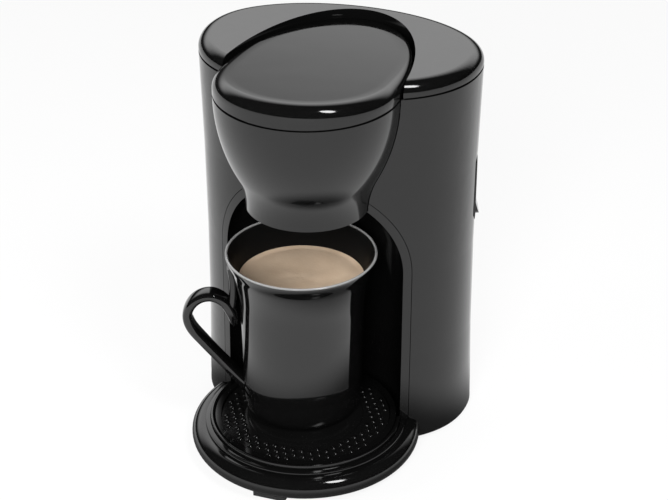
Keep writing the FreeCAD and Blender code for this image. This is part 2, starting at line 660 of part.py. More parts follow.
# Flow heater on two brackets, with its thermostat and fuse
tube_r = "6"
element_r = "3.5"
FLOW_Y = "Sizes.heater_y"
FLOW_Z = "Sizes.heater_z"
FLOW_START = "-Sizes.heater_length / 2"
flow_place = {"x": FLOW_START, "y": FLOW_Y, "z": FLOW_Z}
flow_outside = cylinder("flow_outside", tube_r, "Sizes.heater_length", "x", **flow_place)
flow_bore = cylinder("flow_bore", "Sizes.hose_bore", "Sizes.heater_length", "x", **flow_place)
keep(cut("heater_tube", flow_outside, flow_bore), "heater_tube")
ELEMENT_Z = f"{FLOW_Z} - {tube_r} - {element_r} - 0.4"
element = cylinder("heating_element", element_r, "Sizes.heater_length + 12", "x",
                   x=f"{FLOW_START} - 6", y=FLOW_Y, z=ELEMENT_Z)
keep(element, "heating_element")
posts = []
POST_X = "(Sizes.heater_length / 2 - 3.5)"
fit = 0.05
for side, sign in (("left", "-"), ("right", "")):
    middle = f"{sign}{POST_X}"
    post = box(f"post_{side}", "5", "22", f"{FLOW_Z} + 10 - {FLOOR_TOP}", x=middle, y=FLOW_Y, z=FLOOR_TOP)
    bore = cylinder(f"post_bore_{side}", f"{tube_r} + {fit}", "10", "x", x=f"{middle} - 5", y=FLOW_Y, z=FLOW_Z)
    slot = cylinder(f"post_slot_{side}", f"{element_r} + {fit}", "10", "x",
                    x=f"{middle} - 5", y=FLOW_Y, z=ELEMENT_Z)
    posts.append(cut(f"post_{side}", post, bore, slot))
keep(fuse("heater_brackets", *posts), "heater_brackets")
SENSOR_Z = f"{FLOW_Z} + {tube_r} + 0.1"
keep(fuse("thermostat", cylinder("thermostat_can", "8", "5", y=FLOW_Y, z=SENSOR_Z),
          cylinder("thermostat_cap", "6", "9", y=FLOW_Y, z=SENSOR_Z)), "thermostat")
keep(cylinder("thermal_fuse", "2", "12", "x", x="9", y=FLOW_Y, z=f"{FLOW_Z} + {tube_r} + 2.1"), "thermal_fuse")

# Water path: cold hoses with the check valve between them, and the riser to the deck
flow_y = size("heater_y")
flow_z = size("heater_z")
flow_end = size("heater_length") / 2
valve_z = 78.0
valve_length = 14.0
nipple = 8.0
outlet = V(outlet_x, flow_y, 0)
upper = tube([outlet + V(0, 0, tank_floor - gap), outlet + V(0, 0, valve_z + valve_length + gap)],
             hose_r, hose_bore)
feature("tank_hose", upper)
valve_foot = outlet + V(0, 0, valve_z - nipple)
valve = Part.makeCylinder(hose_r + 1.6, valve_length, outlet + V(0, 0, valve_z))
valve = valve.fuse(Part.makeCylinder(spigot_r, valve_length + 2 * nipple, valve_foot))
valve = valve.cut(Part.makeCylinder(spigot_bore, valve_length + 2 * nipple, valve_foot))
feature("check_valve", valve)
lower = tube([V(-flow_end - gap, flow_y, flow_z), outlet + V(0, 0, flow_z), outlet + V(0, 0, valve_z - gap)],
             hose_r, hose_bore)
feature("inlet_hose", lower)
riser_x = flow_end + hose_run
first_rise = 24.0
last_bend = tank_floor - 38
riser = tube([V(flow_end + gap, flow_y, flow_z), V(riser_x, flow_y, flow_z),
              V(riser_x, flow_y, flow_z + first_rise), V(0, nozzle_y, last_bend),
              V(0, nozzle_y, skirt_bottom + 6)], hose_r, hose_bore)
feature("riser_hose", riser)

# Mains side: cord gland, terminal block and the rocker switch
backwards = V(0, 1, 0)
gland = Part.makeCylinder(gland_radius, 9, V(0, gland_y - 9.2, gland_z), backwards)
gland = gland.fuse(Part.makeCylinder(gland_radius + 2, 3, V(0, gland_y - wall - 4.2, gland_z), backwards))
gland = gland.cut(Part.makeCylinder(gland_radius / 2, 30, V(0, gland_y - 20, gland_z), backwards))
feature("cord_gland", gland)
keep(box("terminal_block", "20", "9", "10", x="-53", y=f"{TOWER_Y} + 10", z=FLOOR_TOP), "terminal_block")

switch_w = size("switch_width")
switch_h = size("switch_height")
bezel_back = -8.0
bezel_front = 0.9
pivot_x = -5.0
pin_radius = 1.2
rocker_tilt = 7.0
end_room = 1.3
side_room = 0.4
bezel = slot_prism(switch_w + 2 * bezel_wall, switch_h + 2 * bezel_wall, bezel_front - bezel_back, bezel_back)
bezel = bezel.cut(slot_prism(switch_w, switch_h, 20, bezel_back - 1))
pin_length = switch_w + 2 * bezel_wall
pin = Part.makeCylinder(pin_radius, pin_length, V(pivot_x, -pin_length / 2, 0), backwards)
bezel = bezel.cut(pin)
rocker = slot_prism(switch_w - 2 * side_room, switch_h - 2 * end_room, 6.4, -5.4)
dish_radius = 90.0
rocker = rocker.cut(Part.makeCylinder(dish_radius, 40, V(dish_radius - 0.6, -20, 0), backwards))
barrel_radius = 2.6
barrel_width = switch_w - 2 * side_room
barrel = Part.makeCylinder(barrel_radius, barrel_width, V(pivot_x, -barrel_width / 2, 0), backwards)
rocker = rocker.fuse(barrel)
rocker = rocker.cut(Part.makeCylinder(pin_radius + fit, 40, V(pivot_x, -20, 0), backwards))
rocker.rotate(V(pivot_x, 0, 0), V(0, 1, 0), -rocker_tilt)
body_depth = 13.0
switch_body = slot_prism(switch_w + 2 * bezel_wall, switch_h + 2 * bezel_wall,
                         body_depth, bezel_back - body_depth)
switch_pieces = {"switch_bezel": bezel, "switch_pin": pin, "switch_rocker": rocker, "switch_body": switch_body}
for label, shape in switch_pieces.items():
    feature(label, at_switch(shape))

# Mug: turned body with a flared lip, and an ear handle with a thumb spur
mug_x = size("mug_x")
mug_z = value(MUG_BOTTOM)
mug_wall = size("mug_wall")
mug_r = size("mug_radius")
foot_mug = size("mug_foot_radius")
lip_r = size("mug_rim_radius")
lip_z = size("mug_height")
flare = 22.0
curl = 15.0
lip_round = 1.0


def mug_solid(inset, low):
    """Turned solid of the mug's outside, or of its inside when drawn in by the wall."""
    waist = lip_z - flare
    body = mug_r - inset
    shin = size("mug_low_radius") - inset
    edge = lip_r - inset
    heel = foot_mug - inset
    bend = V(body + (edge - body) * 0.3, 0, waist + flare * 0.5)
    belly = V(heel + (shin - heel) * 0.68, 0, low + (curl - low) * 0.42)
    points = [V(0, 0, low), V(heel, 0, low), V(shin, 0, curl),
              V(body, 0, waist), V(edge, 0, lip_z), V(0, 0, lip_z)]
    edges = [
        Part.LineSegment(points[0], points[1]).toShape(),
        Part.Arc(points[1], belly, points[2]).toShape(),
        Part.LineSegment(points[2], points[3]).toShape(),
        Part.Arc(points[3], bend, points[4]).toShape(),
        Part.LineSegment(points[4], points[5]).toShape(),
        Part.LineSegment(points[5], points[0]).toShape()]
    return Part.Face(Part.Wire(edges)).revolve(V(0, 0, 0), V(0, 0, 1), 360)


cavity = mug_solid(mug_wall, mug_wall + 1)
cup = mug_solid(0, 0).cut(cavity)
cup = cup.makeFillet(lip_round, [e for e in cup.Edges if e.BoundBox.ZMin > lip_z - 0.01])
ear_r = 12.5
ear_s = size("handle_reach") - ear_r
ear_z = 53.5
ear_end = math.radians(-38)
ear_thick = 3.0
ear_wide = 5.4
start = V(ear_s - ear_r, 0, ear_z)
leave = V(ear_s + ear_r * math.cos(ear_end), 0, ear_z + ear_r * math.sin(ear_end))
run = (leave.x - mug_r + mug_wall / 2) / -math.sin(ear_end)
landing = leave + V(math.sin(ear_end) * run, 0, -math.cos(ear_end) * run)
flat = ear_wide - ear_thick
rounds = [start + V(-ear_thick, -flat, 0), start + V(-ear_thick, flat, 0),
          start + V(ear_thick, flat, 0), start + V(ear_thick, -flat, 0)]
section = Part.Face(Part.Wire([
    Part.LineSegment(rounds[0], rounds[1]).toShape(),
    Part.Arc(rounds[1], start + V(0, ear_wide, 0), rounds[2]).toShape(),
    Part.LineSegment(rounds[2], rounds[3]).toShape(),
    Part.Arc(rounds[3], start - V(0, ear_wide, 0), rounds[0]).toShape()]))
sweep = 180 - math.degrees(ear_end)
ear = section.revolve(V(ear_s, 0, ear_z), V(0, 1, 0), sweep)
section.rotate(V(ear_s, 0, ear_z), V(0, 1, 0), sweep)
arm = section.extrude(landing - leave)
spur_r = ear_thick + 0.6
spur = Part.makeSphere(spur_r, start - V(0, 0, 1))
stem_lean = 1.6
stem_drop = 5.0
stem = Part.makeCylinder(spur_r, lip_z - stem_drop - ear_z + 1, start - V(stem_lean, 0, 1))
mug = cup.fuse(ear.fuse([arm, spur, stem]).cut(cavity))
mug.rotate(V(0, 0, 0), V(0, 0, 1), size("handle_turn"))
mug.translate(V(mug_x, niche_y, mug_z))
feature("mug", mug)

# Check every object, then write each sub-part to its own file
doc.recompute()
for thing in doc.Objects:
    if "Invalid" in thing.State or "Error" in thing.State:
        raise RuntimeError(f"{thing.Label} failed")
os.makedirs("parts", exist_ok=True)
for thing in parts:
    if thing.Shape.isNull() or not thing.Shape.isValid():
        raise RuntimeError(f"{thing.Label} has no valid shape")
    thing.Shape.exportStep(f"parts/{thing.Label}.step")
print(len(parts), "sub-parts written")
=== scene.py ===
import json
import math

import bpy
from mathutils import Euler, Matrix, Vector


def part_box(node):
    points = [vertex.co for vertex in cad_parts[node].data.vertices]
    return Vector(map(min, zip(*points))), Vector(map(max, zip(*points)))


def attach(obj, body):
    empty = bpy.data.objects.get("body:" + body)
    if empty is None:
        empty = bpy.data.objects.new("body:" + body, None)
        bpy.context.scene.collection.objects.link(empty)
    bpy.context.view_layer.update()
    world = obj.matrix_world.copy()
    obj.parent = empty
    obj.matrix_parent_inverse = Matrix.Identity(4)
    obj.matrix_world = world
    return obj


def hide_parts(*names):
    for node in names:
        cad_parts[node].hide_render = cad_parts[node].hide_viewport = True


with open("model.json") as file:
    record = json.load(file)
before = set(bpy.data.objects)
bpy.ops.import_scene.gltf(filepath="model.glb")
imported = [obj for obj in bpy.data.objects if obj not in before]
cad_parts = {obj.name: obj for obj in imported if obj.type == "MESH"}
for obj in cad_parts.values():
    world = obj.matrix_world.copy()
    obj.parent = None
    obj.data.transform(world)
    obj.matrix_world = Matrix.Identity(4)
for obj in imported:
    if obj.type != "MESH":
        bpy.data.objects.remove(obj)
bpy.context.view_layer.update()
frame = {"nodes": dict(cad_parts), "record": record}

scene = bpy.context.scene

# Camera, fitted to the photograph's outlines
PHOTO_WIDTH = 668
FOCAL_PIXELS = 1797.3
CAMERA_PLACE = Vector((0.27324, -0.75875, 0.55526))
CAMERA_DIP = math.radians(29.259)
CAMERA_TURN = math.radians(19.277)
camera_data = bpy.data.cameras.new("photo_camera")
camera_data.lens = camera_data.sensor_width * FOCAL_PIXELS / PHOTO_WIDTH
camera = bpy.data.objects.new("photo_camera", camera_data)
camera.location = CAMERA_PLACE
camera.rotation_euler = Euler((math.pi / 2 - CAMERA_DIP, 0, CAMERA_TURN))
scene.collection.objects.link(camera)
scene.camera = camera
scene.view_settings.view_transform = "Standard"


# Node helpers, which return the output that the next node takes
def coordinates(tree, kind):
    """Coordinates of the shaded point."""
    return tree.nodes.new("ShaderNodeTexCoord").outputs[kind]


def upwards(tree, source):
    """The height in a coordinate output."""
    split = tree.nodes.new("ShaderNodeSeparateXYZ")
    tree.links.new(source, split.inputs["Vector"])
    return split.outputs["Z"]


def ramp(tree, source, start, end, low=0.0, high=1.0, curve="LINEAR"):
    """Numbers from low to high while an output goes from start to end."""
    node = tree.nodes.new("ShaderNodeMapRange")
    node.interpolation_type = curve
    node.inputs["From Min"].default_value = start
    node.inputs["From Max"].default_value = end
    node.inputs["To Min"].default_value = low
    node.inputs["To Max"].default_value = high
    tree.links.new(source, node.inputs["Value"])
    return node.outputs["Result"]


def combine(tree, operation, first, second):
    """One number out of two outputs."""
    node = tree.nodes.new("ShaderNodeMath")
    node.operation = operation
    tree.links.new(first, node.inputs[0])
    tree.links.new(second, node.inputs[1])
    return node.outputs["Value"]


def noise(material, scale, detail=4, stretch=(1, 1, 1)):
    """Noise over the object's own coordinates: a larger scale makes it finer."""
    tree = material.node_tree
    mapping = tree.nodes.new("ShaderNodeMapping")
    mapping.inputs["Scale"].default_value = stretch
    texture = tree.nodes.new("ShaderNodeTexNoise")
    texture.inputs["Scale"].default_value = scale
    texture.inputs["Detail"].default_value = detail
    tree.links.new(coordinates(tree, "Object"), mapping.inputs["Vector"])
    tree.links.new(mapping.outputs["Vector"], texture.inputs["Vector"])
    return texture.outputs["Fac"]


# Material helpers
# Most of a noise's numbers lie between these
NOISE_LOW = 0.3
NOISE_HIGH = 0.7
# A Mix node's colour sockets, by number because its other sockets have the same names
MIX_FIRST = 6
MIX_SECOND = 7
MIX_RESULT = 2


def grey(level):
    """A neutral colour."""
    return (level, level, level)


def shader_input(material, socket):
    """A socket of the material's shader."""
    return material.node_tree.nodes["Principled BSDF"].inputs[socket]


def new_material(name, color, roughness, **shader):
    """A material with its shader's plain numbers, ready for nodes that vary it."""
    material = bpy.data.materials.new(name)
    material.use_nodes = True
    shader_input(material, "Base Color").default_value = (*color, 1)
    shader_input(material, "Roughness").default_value = roughness
    for socket, number in shader.items():
        shader_input(material, socket).default_value = number
    return material


def two_tone(material, source, first, second):
    """Base colour that goes from a first tone to a second as an output rises."""
    tree = material.node_tree
    mix = tree.nodes.new("ShaderNodeMix")
    mix.data_type = "RGBA"
    mix.inputs[MIX_FIRST].default_value = (*first, 1)
    mix.inputs[MIX_SECOND].default_value = (*second, 1)
    tree.links.new(source, mix.inputs["Factor"])
    tree.links.new(mix.outputs[MIX_RESULT], shader_input(material, "Base Color"))


def uneven_gloss(material, source, low, high):
    """Roughness that wanders between low and high with a noise."""
    tree = material.node_tree
    roughness = ramp(tree, source, NOISE_LOW, NOISE_HIGH, low, high)
    tree.links.new(roughness, shader_input(material, "Roughness"))


def bump(material, source, depth, strength=1.0):
    """Fine relief of a depth in metres."""
    tree = material.node_tree
    node = tree.nodes.new("ShaderNodeBump")
    node.inputs["Distance"].default_value = depth
    node.inputs["Strength"].default_value = strength
    tree.links.new(source, node.inputs["Height"])
    tree.links.new(node.outputs["Normal"], shader_input(material, "Normal"))


# Polished black moulding: faint flow mottling and a fine unevenness in its gloss
gloss_black = new_material("gloss_black", color=grey(0.003), roughness=0.06, IOR=1.52)
two_tone(gloss_black, noise(gloss_black, scale=30), grey(0.002), grey(0.004))
uneven_gloss(gloss_black, noise(gloss_black, scale=120), low=0.06, high=0.1)
bump(gloss_black, noise(gloss_black, scale=40, detail=1), depth=0.00003)

# Satin black plate
satin_black = new_material("satin_black", color=grey(0.004), roughness=0.14)
two_tone(satin_black, noise(satin_black, scale=60), grey(0.003), grey(0.005))
uneven_gloss(satin_black, noise(satin_black, scale=300), low=0.1, high=0.18)
bump(satin_black, noise(satin_black, scale=1500, detail=3), depth=0.00001)

# Mug handle's glaze: deep gloss with the slight ripple of a dipped glaze
black_glaze = new_material("black_glaze", color=grey(0.003), roughness=0.03, IOR=1.6)
two_tone(black_glaze, noise(black_glaze, scale=25), grey(0.002), grey(0.004))
uneven_gloss(black_glaze, noise(black_glaze, scale=90), low=0.02, high=0.045)
bump(black_glaze, noise(black_glaze, scale=50, detail=1), depth=0.00004)

# Plain moulded plastic inside and underneath
inner_plastic = new_material("inner_plastic", color=(0.022, 0.022, 0.023), roughness=0.45)
two_tone(inner_plastic, noise(inner_plastic, scale=50), (0.018, 0.018, 0.019), (0.028, 0.028, 0.029))
bump(inner_plastic, noise(inner_plastic, scale=1200, detail=3), depth=0.00006)

# Natural nylon
nylon = new_material("nylon_mesh", color=(0.68, 0.65, 0.56), roughness=0.5)
two_tone(nylon, noise(nylon, scale=80), (0.62, 0.59, 0.5), (0.73, 0.7, 0.62))
bump(nylon, noise(nylon, scale=2500, detail=2), depth=0.0001)

# Rubber feet and gland
rubber = new_material("foot_rubber", color=grey(0.02), roughness=0.75)
two_tone(rubber, noise(rubber, scale=120), grey(0.016), grey(0.03))
bump(rubber, noise(rubber, scale=900), depth=0.0001)

# Silicone hose
silicone = new_material("silicone", color=(0.62, 0.6, 0.55), roughness=0.35)
two_tone(silicone, noise(silicone, scale=70), (0.56, 0.54, 0.49), (0.68, 0.66, 0.61))
bump(silicone, noise(silicone, scale=500, detail=2), depth=0.00005)

# Drawn aluminium: fine lines along the tube
alloy = new_material("heater_alloy", color=(0.62, 0.63, 0.64), roughness=0.32, Metallic=1.0)
alloy_lines = noise(alloy, scale=60, detail=6, stretch=(1, 30, 30))
two_tone(alloy, alloy_lines, (0.55, 0.56, 0.57), (0.7, 0.71, 0.72))
bump(alloy, alloy_lines, depth=0.00004)

# Zinc plated steel
steel = new_material("steel", color=(0.5, 0.5, 0.51), roughness=0.35, Metallic=1.0)
two_tone(steel, noise(steel, scale=150, detail=6), (0.42, 0.42, 0.43), (0.56, 0.56, 0.57))
bump(steel, noise(steel, scale=800, detail=3), depth=0.00003)

# Unglazed ceramic
ceramic = new_material("fuse_ceramic", color=(0.8, 0.78, 0.72), roughness=0.6)
two_tone(ceramic, noise(ceramic, scale=300), (0.74, 0.72, 0.66), (0.84, 0.82, 0.77))
bump(ceramic, noise(ceramic, scale=1500, detail=3), depth=0.00005)

# Each CAD node gets the material of its slot
BY_SLOT = {
    "gloss_black": gloss_black, "satin_black": satin_black, "black_glaze": black_glaze,
    "inner_plastic": inner_plastic, "nylon_mesh": nylon, "foot_rubber": rubber, "silicone": silicone,
    "heater_alloy": alloy, "steel": steel, "fuse_ceramic": ceramic,
}
for entry in frame["record"]["subparts"]:
    materials = frame["nodes"][entry["node"]].data.materials
    materials.clear()
    materials.append(BY_SLOT[entry["material_slot"]])

# Mesh helpers
CREASE = 40


def turns(count):
    """Angles evenly round a full turn."""
    return [2 * math.pi * step / count for step in range(count)]


def circle(middle, radius, count):
    """Points evenly round a level circle."""
    x, y, z = middle
    return [(x + radius * math.cos(turn), y + radius * math.sin(turn), z) for turn in turns(count)]


def smooth(low, high, number):
    """0 below low, 1 above high, and an even S between them."""
    share = min(1.0, max(0.0, (number - low) / (high - low)))
    return share * share * (3 - 2 * share)


def smooth_line(points, steps):
    """Points along a Catmull-Rom curve through the given ones."""
    line = []
    ends = [points[0]] + points + [points[-1]]
    for before, start, end, after in zip(ends, ends[1:], ends[2:], ends[3:]):
        for step in range(steps):
            t = step / steps
            line.append(tuple(
                0.5 * (2 * p1 + (p2 - p0) * t + (2 * p0 - 5 * p1 + 4 * p2 - p3) * t ** 2
                       + (3 * p1 - p0 - 3 * p2 + p3) * t ** 3)
                for p0, p1, p2, p3 in zip(before, start, end, after)))
    line.append(points[-1])
    return line


def new_piece(name, points, faces, material, crease=CREASE):
    """A smooth mesh, sharp where two faces turn by more than crease degrees."""
    mesh = bpy.data.meshes.new(name)
    mesh.from_pydata(points, [], faces)
    mesh.polygons.foreach_set("use_smooth", [True] * len(faces))
    mesh.set_sharp_from_angle(angle=math.radians(crease))
    mesh.materials.append(material)
    piece = bpy.data.objects.new(name, mesh)
    scene.collection.objects.link(piece)
    return piece


def cap_faces(top, count, bands):
    """Faces from the point numbered top over the rings of count points that follow it."""
    first = top + 1
    faces = []
    for spoke in range(count):
        after = (spoke + 1) % count
        faces.append((top, first + spoke, first + after))
        for low in range(first, first + bands * count, count):
            high = low + count
            faces.append((low + spoke, high + spoke, high + after, low + after))
    return faces


def ring_mesh(name, start, rings, end, material, crease=CREASE):
    """A closed piece from a first middle point, through rings of equal count, to a last one."""
    count = len(rings[0])
    points = [start] + [point for ring in rings for point in ring] + [end]
    faces = cap_faces(0, count, len(rings) - 1)
    last = len(points) - 1
    for spoke in range(count):
        faces.append((last - count + (spoke + 1) % count, last - count + spoke, last))
    return new_piece(name, points, faces, material, crease)


# Lid: well rounded in front and tighter at the back, which one CAD fillet can't be
lid_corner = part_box("lid")[1]
filter_low, filter_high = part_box("filter_holder")
HEAD_Y = (filter_low.y + filter_high.y) / 2
LID_RADIUS = lid_corner.x
LID_LENGTH = lid_corner.y - HEAD_Y
LID_WALL = 0.0025
LID_BOTTOM = 0.1998
LID_TAIL = 0.1908
LID_FRONT_TOP = 0.2122
LID_BACK_TOP = 0.2032
FALL_HALF_WAY = 0.6
TOP_MARGIN = 0.002
LID_FRONT = HEAD_Y - LID_RADIUS - TOP_MARGIN
LID_BACK = HEAD_Y + LID_LENGTH + TOP_MARGIN
FRONT_ROUND = 0.0066
BACK_ROUND = 0.0025
REBATE = 0.0009
REBATE_SLOPE = 0.0001
LID_SPOKES = 192
TOP_RINGS = 10
FILLET_STEPS = 10
# Depths behind the head's axis between which the front's edge turns into the back's
BACK_FROM = -0.01
BACK_TO = 0.06


def lid_top(y):
    """Height of the lid's top at a depth: it falls to the back, FALL_HALF_WAY of it in the first half."""
    share = (y - LID_FRONT) / (LID_BACK - LID_FRONT)
    fall = share * (4 * FALL_HALF_WAY - 1) + share ** 2 * (2 - 4 * FALL_HALF_WAY)
    return LID_FRONT_TOP + (LID_BACK_TOP - LID_FRONT_TOP) * fall


def lid_bottom(y):
    """Height of the lid's lower edge: level in front, dipping towards the back."""
    step = HEAD_Y + LID_RADIUS / 2
    return LID_BOTTOM + (LID_TAIL - LID_BOTTOM) * max(0.0, (y - step) / (LID_BACK - step))


def lid_ring(inset, height, scale=1.0):
    """A ring round the lid's plan, a half circle in front and a long half ellipse behind.

    inset and height are functions of back, which goes from 0 in front to 1 behind.
    """
    ring = []
    for turn in turns(LID_SPOKES):
        length = LID_LENGTH if math.sin(turn) > 0 else LID_RADIUS
        back = smooth(BACK_FROM, BACK_TO, math.sin(turn) * length)
        normal = Vector((math.cos(turn) / LID_RADIUS, math.sin(turn) / length)).normalized()
        edge = Vector((math.cos(turn) * LID_RADIUS, math.sin(turn) * length))
        point = Vector((0, HEAD_Y)) + (edge - normal * inset(back)) * scale
        ring.append((point.x, point.y, height(back, point.y)))
    return ring


def edge_round(back):
    """Radius of the lid's upper edge."""
    return FRONT_ROUND + (BACK_ROUND - FRONT_ROUND) * back


def rebate(back):
    """Width and height of the step under the lid's edge, which fades out towards the back."""
    return REBATE * (1 - back)


top_scales = [step / TOP_RINGS for step in range(1, TOP_RINGS + 1)]
lid_rings = [lid_ring(edge_round, lambda back, y: lid_top(y), scale) for scale in top_scales]
for step in range(1, FILLET_STEPS + 1):
    bend = math.pi / 2 * step / FILLET_STEPS
    lid_rings.append(lid_ring(lambda back: edge_round(back) * (1 - math.sin(bend)),
                              lambda back, y: lid_top(y) - edge_round(back) * (1 - math.cos(bend))))
lid_rings.append(lid_ring(lambda back: 0.0, lambda back, y: lid_bottom(y) + rebate(back) + REBATE_SLOPE))
lid_rings.append(lid_ring(rebate, lambda back, y: lid_bottom(y) + rebate(back)))
lid_rings.append(lid_ring(rebate, lambda back, y: lid_bottom(y)))
lid_rings.append(lid_ring(lambda back: LID_WALL, lambda back, y: lid_bottom(y)))
for scale in reversed(top_scales):
    lid_rings.append(lid_ring(lambda back: LID_WALL, lambda back, y: lid_top(y) - LID_WALL, scale))
lid_shell = ring_mesh("lid_shell", (0, HEAD_Y, lid_top(HEAD_Y)), lid_rings,
                      (0, HEAD_Y, lid_top(HEAD_Y) - LID_WALL), gloss_black)
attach(lid_shell, "lid")
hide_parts("lid")

# Drip plate pips: domes over the plate's stepped ones, which catch the light as points
plate_low, plate_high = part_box("drip_plate")
CAD_PIP_HEIGHT = 0.0008
PLATE_Y = (plate_low.y + plate_high.y) / 2
PLATE_TOP = plate_high.z - CAD_PIP_HEIGHT
PLATE_RADIUS = plate_high.x
STAND_RADIUS = 0.03
PIP_PITCH = 0.0048
PIP_RADIUS = 0.0016
PIP_HEIGHT = 0.00095
PIP_ROOM = 0.00165
PIP_SPOKES = 12
PIP_BANDS = 5
pip_sphere = (PIP_RADIUS ** 2 + PIP_HEIGHT ** 2) / (2 * PIP_HEIGHT)
pip_reach = math.asin(PIP_RADIUS / pip_sphere)
pip_top = PLATE_TOP + PIP_HEIGHT
pip_points = []
pip_faces = []


def add_pip(x, y):
    """A dome with a flat underside at a place on the plate."""
    top = len(pip_points)
    pip_points.append((x, y, pip_top))
    for band in range(1, PIP_BANDS + 1):
        tilt = pip_reach * band / PIP_BANDS
        height = pip_top - pip_sphere * (1 - math.cos(tilt))
        pip_points.extend(circle((x, y, height), pip_sphere * math.sin(tilt), PIP_SPOKES))
    pip_faces.extend(cap_faces(top, PIP_SPOKES, PIP_BANDS - 1))
    last = len(pip_points) - 1
    pip_faces.append(tuple(range(last, last - PIP_SPOKES, -1)))


row_step = PIP_PITCH * math.sqrt(3) / 2
pip_rows = int(PLATE_RADIUS / row_step) + 1
for row in range(-pip_rows, pip_rows + 1):
    for column in range(-pip_rows, pip_rows + 1):
        x = (column + (row % 2) / 2) * PIP_PITCH
        y = row * row_step
        if STAND_RADIUS + PIP_ROOM < math.hypot(x, y) < PLATE_RADIUS - PIP_ROOM:
            add_pip(x, PLATE_Y + y)
plate_pips = new_piece("plate_pips", pip_points, pip_faces, gloss_black, crease=60)
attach(plate_pips, "drip_plate")

# Rims in front of the tower, as (radius, height): a step on the base and the tray's standing edge
RIM_FROM = math.radians(167)
RIM_TO = math.radians(373)
RIM_STEPS = 96
BASE_STEP = [
    (0.0528, 0.0148), (0.0528, 0.0158), (0.0526, 0.0162), (0.0521, 0.0164), (0.0503, 0.0166),
    (0.0503, 0.0148)]
TRAY_RIM = [
    (0.0499, 0.0152), (0.0499, 0.0181), (0.0498, 0.0185), (0.0494, 0.0187), (0.0486, 0.0187),
    (0.0482, 0.0184), (0.0478, 0.0180), (0.0476, 0.0152)]


def middle_of(ring):
    """The average of a ring's points."""
    return tuple(sum(values) / len(ring) for values in zip(*ring))


def front_rim(name, body, section):
    """A section carried round the front of the plate's axis."""
    rings = []
    for step in range(RIM_STEPS + 1):
        turn = RIM_FROM + (RIM_TO - RIM_FROM) * step / RIM_STEPS
        rings.append([(radius * math.cos(turn), PLATE_Y + radius * math.sin(turn), height)
                      for radius, height in section])
    piece = ring_mesh(name, middle_of(rings[0]), rings, middle_of(rings[-1]), gloss_black)
    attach(piece, body)


front_rim("base_step", "housing", BASE_STEP)
front_rim("tray_rim", "drip_tray", TRAY_RIM)

# Mug: thin flared cup turned about its axis, as (radius, height)
MUG_AXIS = Vector((-0.005, -0.0135, 0))
MUG_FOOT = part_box("mug")[0].z
MUG_FLOOR = 0.0211
MUG_UNDERSIDE = 0.0189
MUG_SPOKES = 112
CUP_STEPS = 4
COFFEE_LEVEL = 0.0938
COFFEE_RADIUS = 0.0324
mug_inside = [
    (0.012, 0.0212), (0.024, 0.0216), (0.028, 0.0232), (0.0292, 0.0265), (0.0295, 0.04), (0.0299, 0.06),
    (0.0304, 0.078), (0.0311, 0.086), (COFFEE_RADIUS, COFFEE_LEVEL), (0.0337, 0.0990), (0.0356, 0.1045)]
mug_lip = [
    (0.0372, 0.1081), (0.0375, 0.1089), (0.0380, 0.1092), (0.0385, 0.1090), (0.0388, 0.1083)]
mug_outside = [
    (0.0379, 0.1056), (0.0361, 0.1012), (0.0341, 0.0938), (0.0327, 0.086), (0.0321, 0.078), (0.0316, 0.06),
    (0.0312, 0.04), (0.0308, 0.0245), (0.0299, 0.0206), (0.0283, 0.0184), (0.0268, MUG_FOOT),
    (0.0248, MUG_FOOT), (0.0238, 0.0188), (0.012, MUG_UNDERSIDE)]

# Cup's glaze, with a painted highlight on the lip: the glaze turns pale grey there
LIP_HIGHLIGHT_FROM = 0.1083
LIP_HIGHLIGHT_TO = 0.1091
glaze_with_painted_lip = new_material("glaze_with_painted_lip", color=grey(0.003), roughness=0.03, IOR=1.6)
cup_height = upwards(glaze_with_painted_lip.node_tree, coordinates(glaze_with_painted_lip.node_tree, "Object"))
# Painted highlight: black glaze fades to pale grey over the lip's height
two_tone(glaze_with_painted_lip, ramp(glaze_with_painted_lip.node_tree, cup_height, LIP_HIGHLIGHT_FROM, LIP_HIGHLIGHT_TO), grey(0.003), grey(0.34))
uneven_gloss(glaze_with_painted_lip, noise(glaze_with_painted_lip, scale=25), low=0.02, high=0.045)

# Cup's lining, duller than the glaze
LINING_LOW = 0.0205
LINING_HIGH = 0.1078
LEVEL_NORMAL = 0.9
mug_lining = new_material("mug_lining", color=grey(0.004), roughness=0.5, IOR=1.2)
two_tone(mug_lining, noise(mug_lining, scale=25), grey(0.003), grey(0.006))


def on_axis(height):
    """The point on the mug's axis at a height."""
    return (MUG_AXIS.x, MUG_AXIS.y, height)


mug_rings = [circle(on_axis(height), radius, MUG_SPOKES)
             for radius, height in smooth_line(mug_inside + mug_lip + mug_outside, CUP_STEPS)]
mug_cup = ring_mesh("mug_cup", on_axis(MUG_FLOOR), mug_rings, on_axis(MUG_UNDERSIDE), glaze_with_painted_lip, crease=70)
mug_cup.data.materials.append(mug_lining)
for face in mug_cup.data.polygons:
    to_axis = MUG_AXIS + Vector((0, 0, face.center.z)) - face.center
    inside = face.normal.dot(to_axis) > 0 or face.normal.z > LEVEL_NORMAL
    if inside and LINING_LOW < face.center.z < LINING_HIGH:
        face.material_index = 1
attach(mug_cup, "mug")
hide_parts("mug")

# Mug handle: flat-sided straps swept in the plane through the mug's axis
HANDLE_TURN = math.radians(199)
STRAP_SPOKES = 20
STRAP_STEPS = 6
STRAP_POWER = 0.65
outwards = Vector((math.cos(HANDLE_TURN), math.sin(HANDLE_TURN), 0))
sideways = Vector((-math.sin(HANDLE_TURN), math.cos(HANDLE_TURN), 0))


def squared(number):
    """Push a sine or cosine outwards, for a section with flattened sides."""
    return math.copysign(abs(number) ** STRAP_POWER, number)


